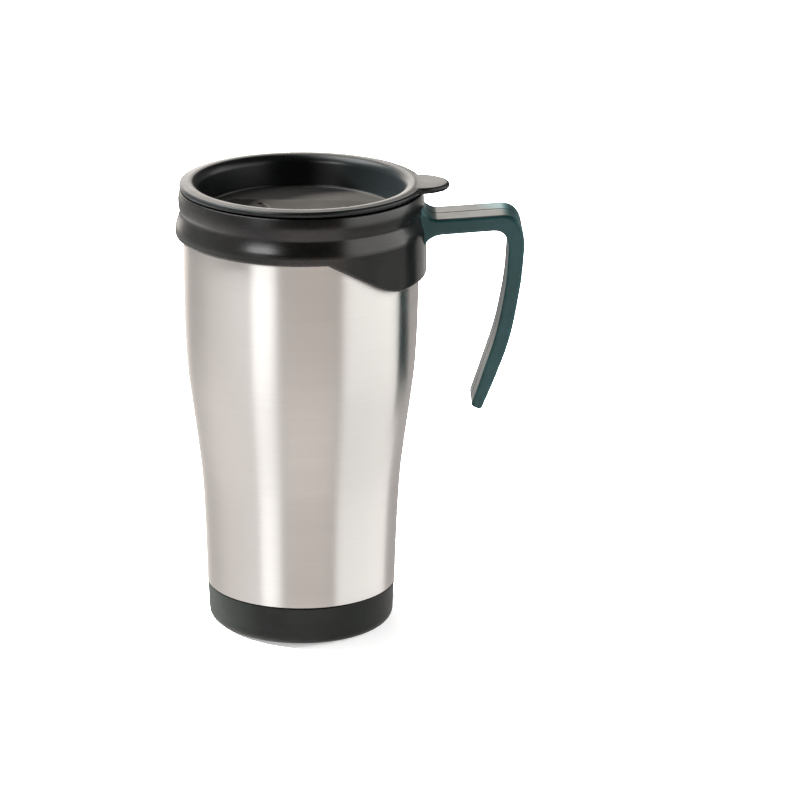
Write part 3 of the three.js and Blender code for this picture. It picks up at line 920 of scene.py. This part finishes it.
CAMERA_ELEVATION = math.radians(17.65)
CAMERA_DISTANCE = 1.532
CAMERA_LENS = 187.5
CAMERA_AIM = Vector((0.0, 0.0, 0.0841))
CAMERA_PAN = math.radians(1.358)  # the mug stands left of the picture's middle
FLOOR_RADIUS = 12.0


def make_camera():
    camera = bpy.data.objects.new("camera", bpy.data.cameras.new("camera"))
    bpy.context.scene.collection.objects.link(camera)
    back = Vector((0.0, -math.cos(CAMERA_ELEVATION), math.sin(CAMERA_ELEVATION)))
    camera.location = CAMERA_AIM + back * CAMERA_DISTANCE
    camera.rotation_mode = "QUATERNION"
    camera.rotation_quaternion = (-back).to_track_quat("-Z", "Y") @ Quaternion((0, 1, 0), -CAMERA_PAN)
    camera.data.lens = CAMERA_LENS
    camera.data.clip_start = 0.05
    camera.data.clip_end = 100.0
    bpy.context.scene.camera = camera


def make_floor():
    bpy.ops.mesh.primitive_circle_add(vertices=96, radius=FLOOR_RADIUS, fill_type="NGON")
    floor = bpy.context.object
    floor.name = "floor"
    shader = Shader("pale_floor")
    grain = shader.noise((6.0, 6.0, 6.0), detail=3.0)
    colour = shader.between(shader.spread(grain, 0.0, 1.0), (0.8, 0.8, 0.8), (0.82, 0.82, 0.82))
    shader.join(colour, shader.surface.inputs["Base Color"])
    shader.set(Roughness=0.9, Specular_IOR_Level=0.1)
    shader.set(Emission_Strength=0.35, Emission_Color=(1.0, 1.0, 1.0, 1.0))
    floor.data.materials.append(shader.material)
    floor.visible_glossy = False
    floor.visible_shadow = False


# Light of the studio round the mug as (azimuth in degrees, brightness, tint): azimuth 0 is towards the
# camera and positive is to its right. Upwards they are NEAR_TABLE, TABLE, WALLS and OVERHEAD.
# The walls carry a tall soft box at each side and a bright card behind the mug. The table is a warm grey,
# brightest in front far off and at the left near the mug. Overhead is bright behind and at the left.
NEUTRAL = (1.0, 0.99, 0.97)
WARM = (1.0, 0.88, 0.8)
BLUSH = (1.0, 0.955, 0.93)
BACK = (1.0, 0.94, 0.88)
WALLS = [
    (-180, 2.6, BACK), (-150, 1.6, BACK), (-136, 0.4, BLUSH), (-120, 0.2, BLUSH), (-66, 0.2, BLUSH),
    (-50, 0.4, NEUTRAL), (-44, 1.1, NEUTRAL), (-34, 1.1, NEUTRAL), (-24, 0.2, NEUTRAL), (-12, 0.03, WARM),
    (38, 0.03, WARM), (45, 2.1, NEUTRAL), (80, 2.1, NEUTRAL), (104, 2.2, NEUTRAL), (114, 2.1, NEUTRAL),
    (122, 0.4, BLUSH), (150, 0.15, BLUSH), (172, 0.2, BACK), (177, 1.5, BACK), (180, 2.6, BACK),
]
TABLE = [
    (-180, 0.4, NEUTRAL), (-140, 0.42, BLUSH), (-118, 0.5, BLUSH), (-100, 0.62, BLUSH), (-60, 0.56, BLUSH),
    (-50, 0.6, NEUTRAL), (-44, 0.66, NEUTRAL), (-32, 0.7, NEUTRAL), (-12, 1.26, WARM), (37, 1.26, WARM),
    (48, 0.38, NEUTRAL), (104, 0.38, NEUTRAL), (116, 0.56, BLUSH), (140, 0.6, BLUSH), (156, 0.8, BLUSH),
    (180, 0.4, NEUTRAL),
]
NEAR_TABLE = [
    (-180, 0.7, NEUTRAL), (-140, 1.35, BLUSH), (-118, 1.42, BLUSH), (-100, 1.34, BLUSH), (-84, 1.16, BLUSH),
    (-60, 0.92, BLUSH), (-46, 0.8, NEUTRAL), (-32, 0.86, NEUTRAL), (-12, 1.18, BLUSH), (37, 1.18, BLUSH),
    (48, 0.66, NEUTRAL), (104, 0.6, NEUTRAL), (118, 0.6, BLUSH), (140, 0.78, BLUSH), (180, 0.6, NEUTRAL),
]
OVERHEAD = [
    (-180, 1.5, BACK), (-100, 1.1, NEUTRAL), (-60, 0.3, NEUTRAL), (-40, 0.1, NEUTRAL), (160, 0.1, NEUTRAL),
    (175, 0.4, BACK), (180, 1.5, BACK),
]
# The elevations in degrees between which each passes into the next one up.
NEAR_TABLE_EDGE = (-25, -18)
TABLE_EDGE = (-13, -6)
WALL_EDGE = (24, 42)


def make_world():
    """Light from all round by azimuth and elevation, and plain white where the camera sees past the mug."""
    world = bpy.data.worlds.new("studio")
    bpy.context.scene.world = world
    world.use_nodes = True
    tree = world.node_tree
    tree.nodes.clear()

    def fill(socket, value):
        if isinstance(value, bpy.types.NodeSocket):
            tree.links.new(value, socket)
        else:
            socket.default_value = value

    def add(kind, *inputs, **settings):
        node = tree.nodes.new(kind)
        for key, value in settings.items():
            setattr(node, key, value)
        for socket, value in zip(node.inputs, inputs):
            fill(socket, value)
        return node

    parts = add("ShaderNodeSeparateXYZ", add("ShaderNodeTexCoord").outputs["Generated"])
    minus_y = add("ShaderNodeMath", parts.outputs["Y"], -1.0, operation="MULTIPLY").outputs[0]
    azimuth = add("ShaderNodeMath", parts.outputs["X"], minus_y, operation="ARCTAN2").outputs[0]
    height = add("ShaderNodeMath", parts.outputs["Z"], operation="ARCSINE").outputs[0]
    share = add("ShaderNodeMapRange", azimuth, -math.pi, math.pi).outputs["Result"]

    def band(stops):
        """Light by azimuth"""
        ramp = add("ShaderNodeValToRGB", share)
        brightest = max(value for _, value, _ in stops)
        while len(ramp.color_ramp.elements) < len(stops):
            ramp.color_ramp.elements.new(0.5)
        for stop, (degrees, value, tint) in zip(ramp.color_ramp.elements, stops):
            stop.position = (degrees + 180) / 360
            stop.color = [value / brightest * c for c in tint] + [1.0]
        scale = add("ShaderNodeVectorMath", ramp.outputs["Color"], operation="SCALE")
        scale.inputs["Scale"].default_value = brightest
        return scale.outputs["Vector"]

    def blend(low, high, first, second):
        """first below the low elevation and second above the high one, in degrees"""
        rise = add("ShaderNodeMapRange", height, math.radians(low), math.radians(high)).outputs["Result"]
        node = add("ShaderNodeMix", data_type="RGBA")
        fill(node.inputs[0], rise)
        fill(node.inputs[6], first)
        fill(node.inputs[7], second)
        return node.outputs[2]

    table = blend(*NEAR_TABLE_EDGE, band(NEAR_TABLE), band(TABLE))
    light = blend(*TABLE_EDGE, table, blend(*WALL_EDGE, band(WALLS), band(OVERHEAD)))
    walls = add("ShaderNodeBackground", light, 1.0)
    backdrop = add("ShaderNodeBackground", (1.0, 1.0, 1.0, 1.0), 1.0)
    seen = add("ShaderNodeLightPath").outputs["Is Camera Ray"]
    pick = add("ShaderNodeMixShader", seen, walls.outputs["Background"], backdrop.outputs["Background"])
    add("ShaderNodeOutputWorld", pick.outputs["Shader"])


LAMP_AIM = Vector((0.0, 0.0, 0.16))  # the lid
# Name, watts, azimuth and elevation in degrees, distance, and (width, height).
MIRRORED_PANELS = [  # these add reflections, and no diffuse light
    ("left_strip", 3.5, -37, 22, 1.3, (0.54, 0.36)),
    ("top_box", 17.0, -98, 60, 1.3, (1.1, 0.9)),
]
HIDDEN_PANELS = [  # these add diffuse light, and no reflections
    ("low_key", 290.0, -111, 22, 1.4, (0.2, 0.2)),
    ("right_fill", 25.0, 100, 6, 1.4, (0.4, 0.4)),
]
OVERHEAD_STRENGTH, OVERHEAD_SPREAD = 0.2, math.radians(60)


def add_lamp(name, kind, power):
    data = bpy.data.lights.new(name, kind)
    data.energy = power
    lamp = bpy.data.objects.new(name, data)
    bpy.context.scene.collection.objects.link(lamp)
    return lamp


def add_panel(name, power, azimuth, elevation, distance, size):
    """A rectangular lamp that points at the lid."""
    lamp = add_lamp(name, "AREA", power)
    lamp.data.shape = "RECTANGLE"
    lamp.data.size, lamp.data.size_y = size
    a, e = math.radians(azimuth), math.radians(elevation)
    away = Vector((math.sin(a) * math.cos(e), -math.cos(a) * math.cos(e), math.sin(e)))
    lamp.location = LAMP_AIM + away * distance
    lamp.rotation_mode = "QUATERNION"
    lamp.rotation_quaternion = away.to_track_quat("Z", "Y")
    lamp.visible_camera = False
    return lamp


def make_lights():
    overhead = add_lamp("overhead", "SUN", OVERHEAD_STRENGTH)
    overhead.data.angle = OVERHEAD_SPREAD
    overhead.visible_glossy = False
    for panel in MIRRORED_PANELS:
        add_panel(*panel).visible_diffuse = False
    for panel in HIDDEN_PANELS:
        add_panel(*panel).visible_glossy = False


make_camera()
make_floor()
make_world()
make_lights()
bpy.context.scene.view_settings.view_transform = "Standard"
bpy.context.scene.view_settings.look = "Medium High Contrast"
